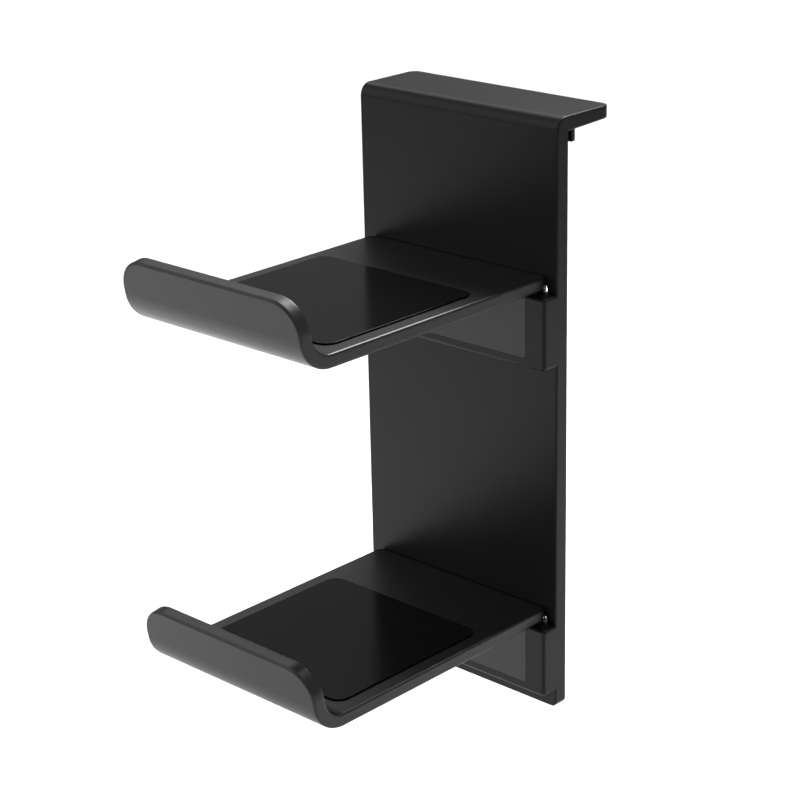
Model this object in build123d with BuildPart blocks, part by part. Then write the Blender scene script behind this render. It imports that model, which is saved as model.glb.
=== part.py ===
"""Hook-over stand for a game controller and a headset, in millimetres, +Z up.

A flat back plate bends over at its top into a hook flange, which lies on the upper
edge of a console or a panel. Two trays plug into pockets on the plate's front, one
above the other. Each tray turns up into a rounded lip at its front end, and carries
a thin rubber pad that keeps what lies on it from sliding.

The origin is the inner corner of the hook: the plate's back face lies in the plane
y = 0, the flange starts at z = 0, and the plate is centred on x = 0. The flange
reaches back along +Y, the trays reach out along -Y, and the plate hangs down.
"""

from build123d import *
from math import cos, radians, sin, tan
import os

# Back plate
plate_width = 90.4
plate_drop = 211.6
plate_thickness = 5.8
plate_lower_corner_radius = 2.2
plate_edge_radius = 0.6

# Hook flange behind the plate's top, thinner towards its tip
flange_depth = 22.5
flange_root_thickness = 5.3
flange_tip_thickness = 4.5
flange_bend_radius = 4.5
flange_corner_radius = 3.5

# Rib under the flange, which drops behind the rim of what the stand hangs on
rib_gap = 1.7
rib_thickness = 1.7
rib_drop = 4.0
rib_end_inset = 0.2
rib_edge_radius = 0.5

# Trays, one below the hook and one above the plate's lower edge
upper_tray_drop = 49.5
lower_tray_rise = 38.55
tray_width = 82.0
tray_thickness = 4.8
tray_reach = 114.3
tray_rear_corner_radius = 2.5
tray_edge_radius = 0.9

# Lip at the tray's front end
lip_height = 18.8
lip_lean = 9.5
lip_thickness = 5.0
lip_bend_radius = 13.2
lip_corner_radius = 10.8

# Pocket block on the plate's front, open at its top and through a window in its front
block_depth = 6.7
block_height = 25.9
block_corner_radius = 1.2
block_edge_radius = 1.1
block_tray_gap = 1.0
window_width = 73.4
window_sill_height = 3.6
window_corner_radius = 1.2
window_edge_chamfer = 0.4
pocket_width = 79.0
pocket_front_wall = 1.8
pocket_floor_height = 2.2

# Tongue that hangs from the tray's rear, stands on the pocket's floor and fills the pocket
tongue_clearance = 0.15
tongue_recess = 0.6
tongue_corner_radius = 1.0

# Latch windows through the plate, and the noses on the tray that click into them
latch_window_length = 11.0
latch_window_height = 4.5
latch_window_edge_distance = 4.1
latch_window_radius = 1.5
latch_window_drop = 3.1
nose_length = 6.5
nose_height = 2.1
nose_depth = 1.1
nose_top_gap = 0.3
nose_end_gap = 1.6
nose_lead_in = 0.4

# Rubber pads on the trays, each glued into a shallow recess
pad_width = 70.0
pad_plate_distance = 30.5
pad_bend_gap = 1.6
pad_thickness = 1.0
pad_corner_radius = 4.5
pad_edge_chamfer = 0.3
pad_recess_depth = 0.5
pad_recess_clearance = 0.7

# Places that follow from the sizes
plate_front = -plate_thickness
front_plane = Plane.XZ.offset(plate_thickness)
tray_tops = {
    "upper": -upper_tray_drop,
    "lower": lower_tray_rise - plate_drop,
}
pocket_depth = block_depth - pocket_front_wall
pad_length = tray_reach - pad_plate_distance - lip_bend_radius - pad_bend_gap


def block_top(tray_top):
    """Height of the top of the pocket block under a tray."""
    return tray_top - tray_thickness - block_tray_gap


# The plate, the flange, the rib and the pocket blocks are one moulding. The side
# profile gives the plate and the flange, with the bend between them.
with BuildPart() as back_plate:
    with BuildSketch(Plane.YZ) as side_profile:
        with BuildLine():
            Polyline(
                (plate_front, -plate_drop),
                (plate_front, flange_root_thickness),
                (flange_depth, flange_root_thickness),
                (flange_depth, flange_root_thickness - flange_tip_thickness),
                (0, 0),
                (0, -plate_drop),
                close=True,
            )
        make_face()
        outer_bend = (plate_front, flange_root_thickness, 0)
        fillet(side_profile.vertices().sort_by_distance(outer_bend)[0], flange_bend_radius)
    extrude(amount=plate_width / 2, both=True)

    fillet(back_plate.edges().filter_by(Axis.Z).group_by(Axis.Y)[-1], flange_corner_radius)
    fillet(back_plate.edges().filter_by(Axis.Y).group_by(Axis.Z)[0], plate_lower_corner_radius)

    # Every outer edge is rounded, apart from the bends, which are round already.
    cross_edges = back_plate.edges().filter_by(Axis.X)
    outline = back_plate.edges().filter_by(Axis.X, reverse=True)
    end_edges = cross_edges.group_by(Axis.Y)[-1] + cross_edges.group_by(Axis.Z)[0]
    fillet(outline + end_edges, plate_edge_radius)

    # The rib hangs from the flange, just behind the plate.
    with BuildSketch(Plane.XY.offset(-rib_drop)):
        with Locations((0, rib_gap + rib_thickness / 2)):
            Rectangle(plate_width - 2 * rib_end_inset, rib_thickness)
    extrude(amount=rib_drop + flange_root_thickness / 2)
    rib_end = back_plate.faces().filter_by(Axis.Z).sort_by_distance((0, rib_gap, -rib_drop))[0]
    fillet(rib_end.edges(), rib_edge_radius)

    for tray_top in tray_tops.values():
        # The block starts inside the plate, so its sides run on from the plate's sides.
        block_root = 2 * plate_edge_radius
        block_middle = block_top(tray_top) - block_height / 2
        with BuildSketch(front_plane.offset(-block_root)):
            with Locations((0, block_middle)):
                RectangleRounded(plate_width, block_height, block_corner_radius)
        extrude(amount=block_root + block_depth)
        block_front = (0, plate_front - block_depth, block_middle)
        fillet(back_plate.faces().sort_by_distance(block_front)[0].edges(), block_edge_radius)

        # The pocket takes the tray's tongue from above.
        with BuildSketch(front_plane):
            with Locations((0, block_top(tray_top))):
                Rectangle(
                    pocket_width,
                    block_height - pocket_floor_height,
                    align=(Align.CENTER, Align.MAX),
                )
        extrude(amount=pocket_depth, mode=Mode.SUBTRACT)

        # The window shows the tongue's front, and its frame keeps the tongue in.
        with BuildSketch(front_plane) as window:
            with Locations((0, block_top(tray_top))):
                Rectangle(
                    window_width,
                    block_height - window_sill_height,
                    align=(Align.CENTER, Align.MAX),
                )
            fillet(window.vertices().group_by(Axis.Y)[0], window_corner_radius)
        extrude(amount=block_depth, mode=Mode.SUBTRACT)
        sill_top = block_top(tray_top) - block_height + window_sill_height
        sill_face = (0, plate_front - block_depth, sill_top - window_sill_height / 2)
        frame = back_plate.faces().filter_by(Axis.Y).sort_by_distance(sill_face)[0].edges()
        rim_reach = window_width / 2 + window_edge_chamfer
        window_rim = frame.filter_by_position(Axis.X, -rim_reach, rim_reach)
        window_rim = window_rim.filter_by_position(
            Axis.Z, sill_top - window_edge_chamfer, block_top(tray_top)
        )
        chamfer(window_rim, window_edge_chamfer)

        # Two latch windows open through the plate at the ends of the tray's root.
        window_distance = plate_width / 2 - latch_window_edge_distance - latch_window_length / 2
        window_middle = tray_top - latch_window_drop - latch_window_height / 2
        with BuildSketch(Plane.XZ):
            with Locations((-window_distance, window_middle), (window_distance, window_middle)):
                RectangleRounded(latch_window_length, latch_window_height, latch_window_radius)
        extrude(amount=plate_thickness, mode=Mode.SUBTRACT)

back_plate.part.label = "back_plate"
os.makedirs("parts", exist_ok=True)
export_step(back_plate.part, "parts/back_plate.step")


# Both trays come from one mould: a shelf with an upturned lip, a tongue and two noses.
for name, tray_top in tray_tops.items():
    tray_bottom = tray_top - tray_thickness
    lip_top = tray_top + lip_height
    lean = radians(lip_lean)
    outer_corner = plate_front - tray_reach
    outer_tip = outer_corner - tan(lean) * (lip_top - tray_bottom)
    inner_corner = outer_corner + lip_thickness / cos(lean) - tan(lean) * tray_thickness
    through_lip = Axis((0, outer_tip, lip_top), (0, cos(lean), sin(lean)))
    inner_tip = through_lip.position + lip_thickness * through_lip.direction

    with BuildPart() as tray:
        with BuildSketch(Plane.YZ) as tray_profile:
            with BuildLine():
                Polyline(
                    (plate_front, tray_top),
                    (inner_corner, tray_top),
                    (inner_tip.Y, inner_tip.Z),
                    (outer_tip, lip_top),
                    (outer_corner, tray_bottom),
                    (plate_front, tray_bottom),
                    close=True,
                )
            make_face()
            inner_bend = (inner_corner, tray_top, 0)
            outer_bend = (outer_corner, tray_bottom, 0)
            inner_bend_radius = lip_bend_radius - tray_thickness
            fillet(tray_profile.vertices().sort_by_distance(inner_bend)[0], inner_bend_radius)
            fillet(tray_profile.vertices().sort_by_distance(outer_bend)[0], lip_bend_radius)
        extrude(amount=tray_width / 2, both=True)

        # The lip's upper corners and the tray's rear corners are rounded.
        fillet(tray.edges().filter_by(through_lip), lip_corner_radius)
        fillet(tray.edges().filter_by(Axis.Z).group_by(Axis.Y)[-1], tray_rear_corner_radius)
        outline = tray.edges().filter_by(Axis.X, reverse=True).filter_by(Axis.Z, reverse=True)
        outline = outline.filter_by(through_lip, reverse=True)
        lip_edges = tray.edges().filter_by(Axis.X).group_by(Axis.Z)[-2:]
        fillet(outline + lip_edges[0] + lip_edges[1], tray_edge_radius)

        # The tongue's body slides down the pocket, and its panel stands in the window.
        block_bottom = block_top(tray_top) - block_height
        tongue_top = tray_bottom + tray_thickness / 2
        with BuildSketch(front_plane):
            with Locations((0, tongue_top)):
                Rectangle(
                    pocket_width - 2 * tongue_clearance,
                    tongue_top - block_bottom - pocket_floor_height,
                    align=(Align.CENTER, Align.MAX),
                )
        extrude(amount=pocket_depth - tongue_clearance)
        with BuildSketch(front_plane) as panel:
            with Locations((0, tongue_top)):
                Rectangle(
                    window_width - 2 * tongue_clearance,
                    tongue_top - block_bottom - window_sill_height - tongue_clearance,
                    align=(Align.CENTER, Align.MAX),
                )
            fillet(panel.vertices().group_by(Axis.Y)[0], tongue_corner_radius)
        extrude(amount=block_depth - tongue_recess)

        # The noses reach into the latch windows, with a sloping lower edge as lead-in.
        nose_top = tray_top - latch_window_drop - nose_top_gap
        nose_outer_end = plate_width / 2 - latch_window_edge_distance - nose_end_gap
        nose_centre = nose_outer_end - nose_length / 2
        with BuildSketch(front_plane.offset(tray_rear_corner_radius)):
            with Locations((-nose_centre, nose_top), (nose_centre, nose_top)):
                Rectangle(nose_length, nose_height, align=(Align.CENTER, Align.MAX))
        extrude(amount=-tray_rear_corner_radius - nose_depth)
        nose_edges = tray.edges().filter_by(Axis.X).group_by(Axis.Y)[-1]
        chamfer(nose_edges.group_by(Axis.Z)[0], nose_lead_in)

        # The recess locates the pad.
        pad_centre = plate_front - pad_plate_distance - pad_length / 2
        with BuildSketch(Plane.XY.offset(tray_top)):
            with Locations((0, pad_centre)):
                RectangleRounded(
                    pad_width + 2 * pad_recess_clearance,
                    pad_length + 2 * pad_recess_clearance,
                    pad_corner_radius + pad_recess_clearance,
                )
        extrude(amount=-pad_recess_depth, mode=Mode.SUBTRACT)

    tray.part.label = f"{name}_tray"
    export_step(tray.part, f"parts/{name}_tray.step")

    # The pad is a soft sheet with an eased upper edge, a little proud of the tray.
    with BuildPart() as pad:
        with BuildSketch(Plane.XY.offset(tray_top - pad_recess_depth)):
            with Locations((0, pad_centre)):
                RectangleRounded(pad_width, pad_length, pad_corner_radius)
        extrude(amount=pad_thickness)
        chamfer(pad.faces().sort_by(Axis.Z)[-1].edges(), pad_edge_chamfer)

    pad.part.label = f"{name}_tray_pad"
    export_step(pad.part, f"parts/{name}_tray_pad.step")
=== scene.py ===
from math import cos, radians, sin

import bmesh
import bpy
from mathutils import Matrix, Vector


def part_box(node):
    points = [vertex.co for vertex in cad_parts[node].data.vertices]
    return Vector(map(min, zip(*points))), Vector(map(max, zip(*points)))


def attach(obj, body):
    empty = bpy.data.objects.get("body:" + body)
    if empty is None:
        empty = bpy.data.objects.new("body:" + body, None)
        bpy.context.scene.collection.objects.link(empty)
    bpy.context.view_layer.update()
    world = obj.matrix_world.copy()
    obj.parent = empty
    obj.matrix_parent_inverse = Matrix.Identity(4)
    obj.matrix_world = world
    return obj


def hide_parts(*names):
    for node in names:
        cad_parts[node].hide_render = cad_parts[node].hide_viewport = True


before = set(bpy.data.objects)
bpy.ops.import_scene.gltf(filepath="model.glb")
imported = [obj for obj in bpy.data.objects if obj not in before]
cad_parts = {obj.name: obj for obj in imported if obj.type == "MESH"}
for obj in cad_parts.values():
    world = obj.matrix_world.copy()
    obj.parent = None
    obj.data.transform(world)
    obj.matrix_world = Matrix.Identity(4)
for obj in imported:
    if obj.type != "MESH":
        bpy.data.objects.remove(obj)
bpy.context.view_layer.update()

scene = bpy.context.scene
scene.view_settings.view_transform = "Standard"

# The stand is seen from its front right, from about 0.17 m above its hook. The eye looks
# at the left half of the plate's front, about halfway down, and is rolled a little.
azimuth, elevation, roll = radians(43.571), radians(20.294), radians(-1.291)
looks_at = Vector((-0.028967, -0.0058, -0.110506))
distance = 0.810788
back = Vector(
    (sin(azimuth) * cos(elevation), -cos(azimuth) * cos(elevation), sin(elevation))
)
right = Vector((cos(azimuth), sin(azimuth), 0))
up = back.cross(right)
level_right = cos(roll) * right + sin(roll) * up
level_up = cos(roll) * up - sin(roll) * right
eye = bpy.data.objects.new("eye", bpy.data.cameras.new("eye"))
eye.data.sensor_width = 36
eye.data.lens = 99.296
eye.data.clip_start, eye.data.clip_end = 0.05, 20
turned = Matrix((level_right, level_up, back)).transposed().to_4x4()
eye.matrix_world = Matrix.Translation(looks_at + distance * back) @ turned
scene.collection.objects.link(eye)
scene.camera = eye


# Back plate with the hook flange, the rib and the two pocket blocks. It is one injection
# moulding in black plastic, out of a mould with a fine spark-eroded grain, so it keeps a
# satin sheen in which the trays show as soft dark reflections.
class Wire:
    """A value in a material's node tree. Arithmetic on it adds Math nodes."""

    def __init__(self, tree, socket=None):
        self.tree = tree
        self.socket = socket

    def node(self, kind, settings, sockets, output=0):
        """Adds a node: its settings first, then the values or links of its sockets."""
        made = self.tree.nodes.new(kind)
        for name, value in settings.items():
            setattr(made, name, value)
        for name, value in sockets.items():
            if isinstance(value, Wire):
                self.tree.links.new(value.socket, made.inputs[name])
            else:
                made.inputs[name].default_value = value
        return Wire(self.tree, made.outputs[output]) if made.outputs else None

    def maths(self, operation, first, second):
        """Adds one Math node, whose operands are wires or plain numbers."""
        sockets = {0: first, 1: second}
        return self.node("ShaderNodeMath", {"operation": operation}, sockets)

    def __add__(self, other):
        return self.maths("ADD", self, other)

    def __sub__(self, other):
        return self.maths("SUBTRACT", self, other)

    def __rsub__(self, other):
        return self.maths("SUBTRACT", other, self)

    def __mul__(self, other):
        return self.maths("MULTIPLY", self, other)

    __radd__ = __add__
    __rmul__ = __mul__


def new_finish(name):
    """An empty material, with a start for its nodes."""
    material = bpy.data.materials.new(name)
    material.use_nodes = True
    material.node_tree.nodes.clear()
    return material, Wire(material.node_tree)


def moulded_finish(name, dark, pale, specular, roughness, grain_size, grain_depth):
    """A moulded surface with an even fine grain, a little uneven in sheen and colour."""
    cloud_size = 0.022
    cloud_tint, grain_tint = 0.7, 0.3
    cloud_sheen, grain_sheen = 0.06, 0.05

    material, tree = new_finish(name)
    place = tree.node("ShaderNodeTexCoord", {}, {}, "Object")
    grain = tree.node(
        "ShaderNodeTexNoise",
        {"noise_dimensions": "3D"},
        {"Vector": place, "Scale": 1 / grain_size, "Detail": 2.0, "Roughness": 0.6},
    )
    clouds = tree.node(
        "ShaderNodeTexNoise",
        {"noise_dimensions": "3D"},
        {"Vector": place, "Scale": 1 / cloud_size, "Detail": 3.0, "Roughness": 0.5},
    )
    tint = clouds * cloud_tint + grain * grain_tint
    colour = tree.node(
        "ShaderNodeMix",
        {"data_type": "RGBA"},
        {"Factor": tint, "A": (*dark, 1), "B": (*pale, 1)},
        "Result",
    )
    bumps = tree.node(
        "ShaderNodeBump",
        {},
        {"Strength": 1.0, "Distance": grain_depth, "Height": grain},
    )
    sheen = roughness + cloud_sheen * (clouds - 0.5) + grain_sheen * (grain - 0.5)
    shader = tree.node(
        "ShaderNodeBsdfPrincipled",
        {},
        {
            "Base Color": colour,
            "Roughness": sheen,
            "Specular IOR Level": specular,
            "IOR": 1.5,
            "Normal": bumps,
        },
    )
    tree.node("ShaderNodeOutputMaterial", {}, {"Surface": shader})
    return material


def finish_solid(node_name, material):
    """Gives one of the frame's own solids its finish."""
    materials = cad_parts[node_name].data.materials
    materials.clear()
    materials.append(material)


plate_plastic = moulded_finish(
    "black satin plate plastic",
    dark=(0.0090, 0.0090, 0.0094),
    pale=(0.0120, 0.0120, 0.0126),
    specular=0.45,
    roughness=0.36,
    grain_size=0.0005,
    grain_depth=0.000012,
)
finish_solid("back_plate", plate_plastic)


# Trays: two alike mouldings with an upturned lip, in the plate's kind of plastic out of a
# more polished mould. Each hangs by a stepped tongue, which stands in its block's pocket
# and shows through the window in the block's front.
tray_plastic = moulded_finish(
    "black satin tray plastic",
    dark=(0.0110, 0.0110, 0.0114),
    pale=(0.0152, 0.0152, 0.0157),
    specular=1.0,
    roughness=0.36,
    grain_size=0.0005,
    grain_depth=0.000012,
)
finish_solid("upper_tray", tray_plastic)
finish_solid("lower_tray", tray_plastic)


# Tongue fronts: the raised panel of each tray's tongue, part of the tray's moulding. It
# covers the window's edges and stands a hair proud of the block, while the solid behind
# it is recessed, so that only a light rounded edge shows round it.
def rounded_outline(low_u, high_u, low_v, high_v, low_radius, high_radius):
    """Points round a rectangle, anticlockwise from its right upper corner."""
    steps = 8
    points = []
    for middle_u, middle_v, radius, start in (
        (high_u - high_radius, high_v - high_radius, high_radius, 0),
        (low_u + high_radius, high_v - high_radius, high_radius, 90),
        (low_u + low_radius, low_v + low_radius, low_radius, 180),
        (high_u - low_radius, low_v + low_radius, low_radius, 270),
    ):
        for step in range(steps + 1):
            turn = radians(start + 90 * step / steps)
            points.append((middle_u + radius * cos(turn), middle_v + radius * sin(turn)))
    return points


def rounded_edge(radius):
    """How far a rounded edge lies in from the side and below the face, step by step."""
    steps = 6
    turns = [radians(90 * step / steps) for step in range(steps + 1)]
    return [(radius * (1 - cos(turn)), radius * (1 - sin(turn))) for turn in turns]


def skin_over(rings):
    """A closed smooth skin through rings of points, each laid over the one before."""
    skin = bmesh.new()
    loops = [[skin.verts.new(point) for point in ring] for ring in rings]
    for lower, upper in zip(loops, loops[1:]):
        for k in range(len(lower)):
            after = (k + 1) % len(lower)
            side = skin.faces.new((lower[k], lower[after], upper[after], upper[k]))
            side.smooth = True
    skin.faces.new(reversed(loops[0]))
    skin.faces.new(loops[-1])
    return skin


def new_piece(name, skin, material):
    """Puts a finished skin into the scene as a piece that rides with the stand."""
    piece = bpy.data.objects.new(name, bpy.data.meshes.new(name))
    skin.to_mesh(piece.data)
    skin.free()
    piece.data.materials.append(material)
    scene.collection.objects.link(piece)
    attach(piece, "root")
    return piece


front_half_width = 0.03705
front_face, front_back = -0.01262, -0.0116
front_edge_radius = 0.0003
sill_corner_radius, shelf_corner_radius = 0.0012, 0.0002
sill_overlap, shelf_overlap = 0.00035, 0.001
for tray, window_sill, shelf_bottom in (
    ("upper_tray", -0.0776, -0.0543),
    ("lower_tray", -0.20115, -0.17785),
):
    rings = []
    for inset, depth in [(0, front_back - front_face)] + rounded_edge(front_edge_radius):
        outline = rounded_outline(
            -front_half_width + inset,
            front_half_width - inset,
            window_sill - sill_overlap + inset,
            shelf_bottom + shelf_overlap,
            low_radius=sill_corner_radius,
            high_radius=shelf_corner_radius,
        )
        rings.append([(x, front_face + depth, z) for x, z in outline])
    new_piece(f"{tray}_tongue_front", skin_over(rings), tray_plastic)


# Pads: smooth black rubber sheet, cut with rounded corners and glued into the trays'
# recesses. It lies a little proud of the tray, with a thin dark joint all round.
pad_rubber = moulded_finish(
    "black pad rubber",
    dark=(0.0010, 0.0010, 0.0010),
    pale=(0.0018, 0.0018, 0.0018),
    specular=0.4,
    roughness=0.17,
    grain_size=0.0003,
    grain_depth=0.000002,
)
pad_corner_radius, pad_edge_radius, pad_foot_radius = 0.0045, 0.0001, 0.0001
for tray in ("upper_tray", "lower_tray"):
    low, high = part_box(f"{tray}_pad")
    profile = [(pad_foot_radius, low.z), (0, low.z + pad_foot_radius)]
    profile += [(inset, high.z - depth) for inset, depth in rounded_edge(pad_edge_radius)]
    rings = []
    for inset, height in profile:
        outline = rounded_outline(
            low.x + inset,
            high.x - inset,
            low.y + inset,
            high.y - inset,
            low_radius=pad_corner_radius - inset,
            high_radius=pad_corner_radius - inset,
        )
        rings.append([(x, y, height) for x, y in outline])
    pad = new_piece(f"{tray}_rubber_pad", skin_over(rings), pad_rubber)
    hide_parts(f"{tray}_pad")


# Studio floor: a wide sheet of white paper well below the stand, which hangs from its
# hook in use.
floor_height, floor_half_width = -0.36, 6
floor_skin = bmesh.new()
bmesh.ops.create_grid(floor_skin, x_segments=1, y_segments=1, size=floor_half_width)
floor = bpy.data.objects.new("floor", bpy.data.meshes.new("floor"))
floor_skin.to_mesh(floor.data)
floor_skin.free()
floor.data.transform(Matrix.Translation((0, 0, floor_height)))
scene.collection.objects.link(floor)
white_paper, tree = new_finish("white paper")
shader = tree.node(
    "ShaderNodeBsdfPrincipled", {}, {"Base Color": (0.9, 0.9, 0.9, 1), "Roughness": 0.9}
)
tree.node("ShaderNodeOutputMaterial", {}, {"Surface": shader})
floor.data.materials.append(white_paper)


# Studio light: a dim even room, panels that light the paper from above, and soft boxes
# round the stand. The light that the paper throws back gives the upright faces their
# sheen, and the boxes behind draw the bright lines along the trays' upper edges.
room = bpy.data.worlds.new("room")
room.use_nodes = True
room_light = room.node_tree.nodes["Background"]
room_light.inputs["Color"].default_value = (1, 1, 1, 1)
room_light.inputs["Strength"].default_value = 0.184
scene.world = room


def new_lamp(name, place, width, depth, spread, watts):
    """A flat lamp that shines downwards, and that the eye sees only mirrored."""
    lamp = bpy.data.objects.new(name, bpy.data.lights.new(name, "AREA"))
    lamp.data.shape = "RECTANGLE"
    lamp.data.size, lamp.data.size_y = width, depth
    lamp.data.spread = radians(spread)
    lamp.data.energy = watts
    lamp.location = place
    lamp.visible_camera = False
    scene.collection.objects.link(lamp)
    return lamp


# Each panel has its name, place, width, depth, spread in degrees and power in watts. All
# face straight down and are turned with the view.
for panel in (
    ("near back paper panel", (-0.400, 0.420, 0.30), 1.6, 0.90, 40, 5.1),
    ("far back paper panel", (-1.357, 1.427, 0.30), 2.2, 1.86, 40, 12.9),
    ("near front paper panel", (-0.30, -0.34, 0.30), 0.45, 0.45, 80, 0.31),
    ("far front paper panel", (-0.85, -0.90, 0.60), 1.0, 1.0, 80, 1.2),
):
    new_lamp(*panel).rotation_euler = (0, 0, azimuth)

# Each soft box has its name, place, width, depth and power in watts. All are aimed at the
# upper tray and shine to every side.
upper_tray_middle = Vector((0, -0.07, -0.06))
for name, place, width, depth, watts in (
    ("back soft box", (-0.09, 0.54, 0.70), 0.5, 0.35, 7.1),
    ("left soft box", (-0.95, 0.68, 0.98), 0.8, 0.4, 1.3),
    ("front soft box", (-0.85, -0.80, 0.50), 1.1, 1.1, 1.8),
    ("right soft box", (0.75, -0.85, 0.90), 0.6, 0.6, 0.6),
):
    box = new_lamp(name, place, width, depth, spread=180, watts=watts)
    ray = upper_tray_middle - Vector(place)
    box.rotation_euler = ray.to_track_quat("-Z", "Y").to_euler()
